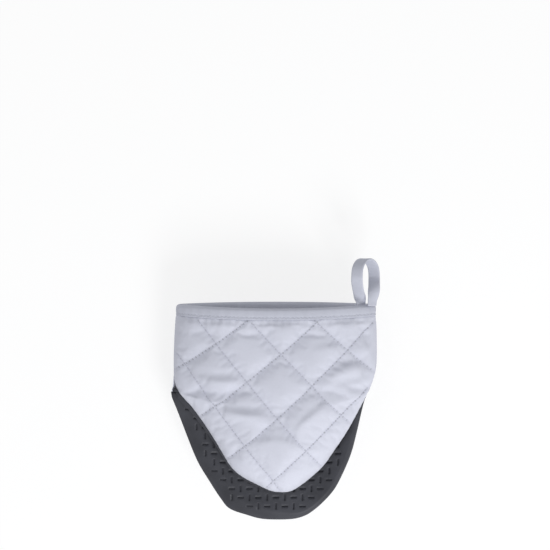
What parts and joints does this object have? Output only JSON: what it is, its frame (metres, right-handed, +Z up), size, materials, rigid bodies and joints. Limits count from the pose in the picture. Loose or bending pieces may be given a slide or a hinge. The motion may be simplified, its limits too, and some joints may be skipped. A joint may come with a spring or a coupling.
{
  "type": "oven mitt",
  "caption": "Short pinch-grip oven mitt: quilted cotton cover with a grooved silicone palm that folds between thumb and finger pockets, bound cuff and hanging loop.",
  "frame": {"origin": "on the table, under the middle of the crease between the thumb pocket and the finger pocket", "axes": "+X across the cuff towards the hanging loop, +Y from the finger tip to the cuff, +Z up through the thumb side; the mitt lies on the back of its finger side"},
  "size_m": [0.1377, 0.1723, 0.044],
  "materials": {
    "cover_cotton": "matte woven cotton",
    "wadding": "matte felted wadding",
    "lining_cotton": "matte woven cotton",
    "binding_tape": "matte woven tape",
    "thread": "matte cotton thread",
    "silicone": "satin moulded silicone"
  },
  "bodies": {
    "finger_side": {"rear_cover": "cover_cotton", "cuff_cover": "cover_cotton", "fold_cover": "cover_cotton", "rear_wadding": "wadding", "cuff_wadding": "wadding", "fold_wadding": "wadding", "rear_lining": "lining_cotton", "cuff_lining": "lining_cotton", "fold_lining": "lining_cotton", "finger_palm_lining": "lining_cotton", "crease_lining": "lining_cotton", "finger_grip": "silicone", "grip_crease": "silicone", "rear_quilting": "thread", "cuff_quilting": "thread", "fold_quilting": "thread", "binding_topstitch": "thread", "loop_bartacks": "thread", "cuff_binding": "binding_tape", "loop_anchor": "binding_tape", "seam_tape_left": "binding_tape", "seam_tape_right": "binding_tape"},
    "thumb_pocket": {"thumb_cover": "cover_cotton", "thumb_wadding": "wadding", "thumb_lining": "lining_cotton", "thumb_quilting": "thread", "thumb_grip": "silicone", "thumb_palm_lining": "lining_cotton"},
    "hanging_loop": {"hanging_loop": "binding_tape"}
  },
  "joints": [
    {"name": "pinch_hinge", "type": "hinge", "parent": "finger_side", "child": "thumb_pocket", "pos_m": [0, 0, 0.022], "axis": [-1, 0, 0], "range_deg": [0, 50], "stiffness_Nm_per_rad": 0.02, "deforming": ["fold_cover", "fold_wadding", "fold_lining", "fold_quilting", "grip_crease", "crease_lining"]},
    {"name": "loop_swing", "type": "hinge", "parent": "finger_side", "child": "hanging_loop", "pos_m": [0.06033, 0.0597, 0.02942], "axis": [-0.7328, 0, 0.6805], "range_deg": [-50, 50], "stiffness_Nm_per_rad": 0.003}
  ]
}
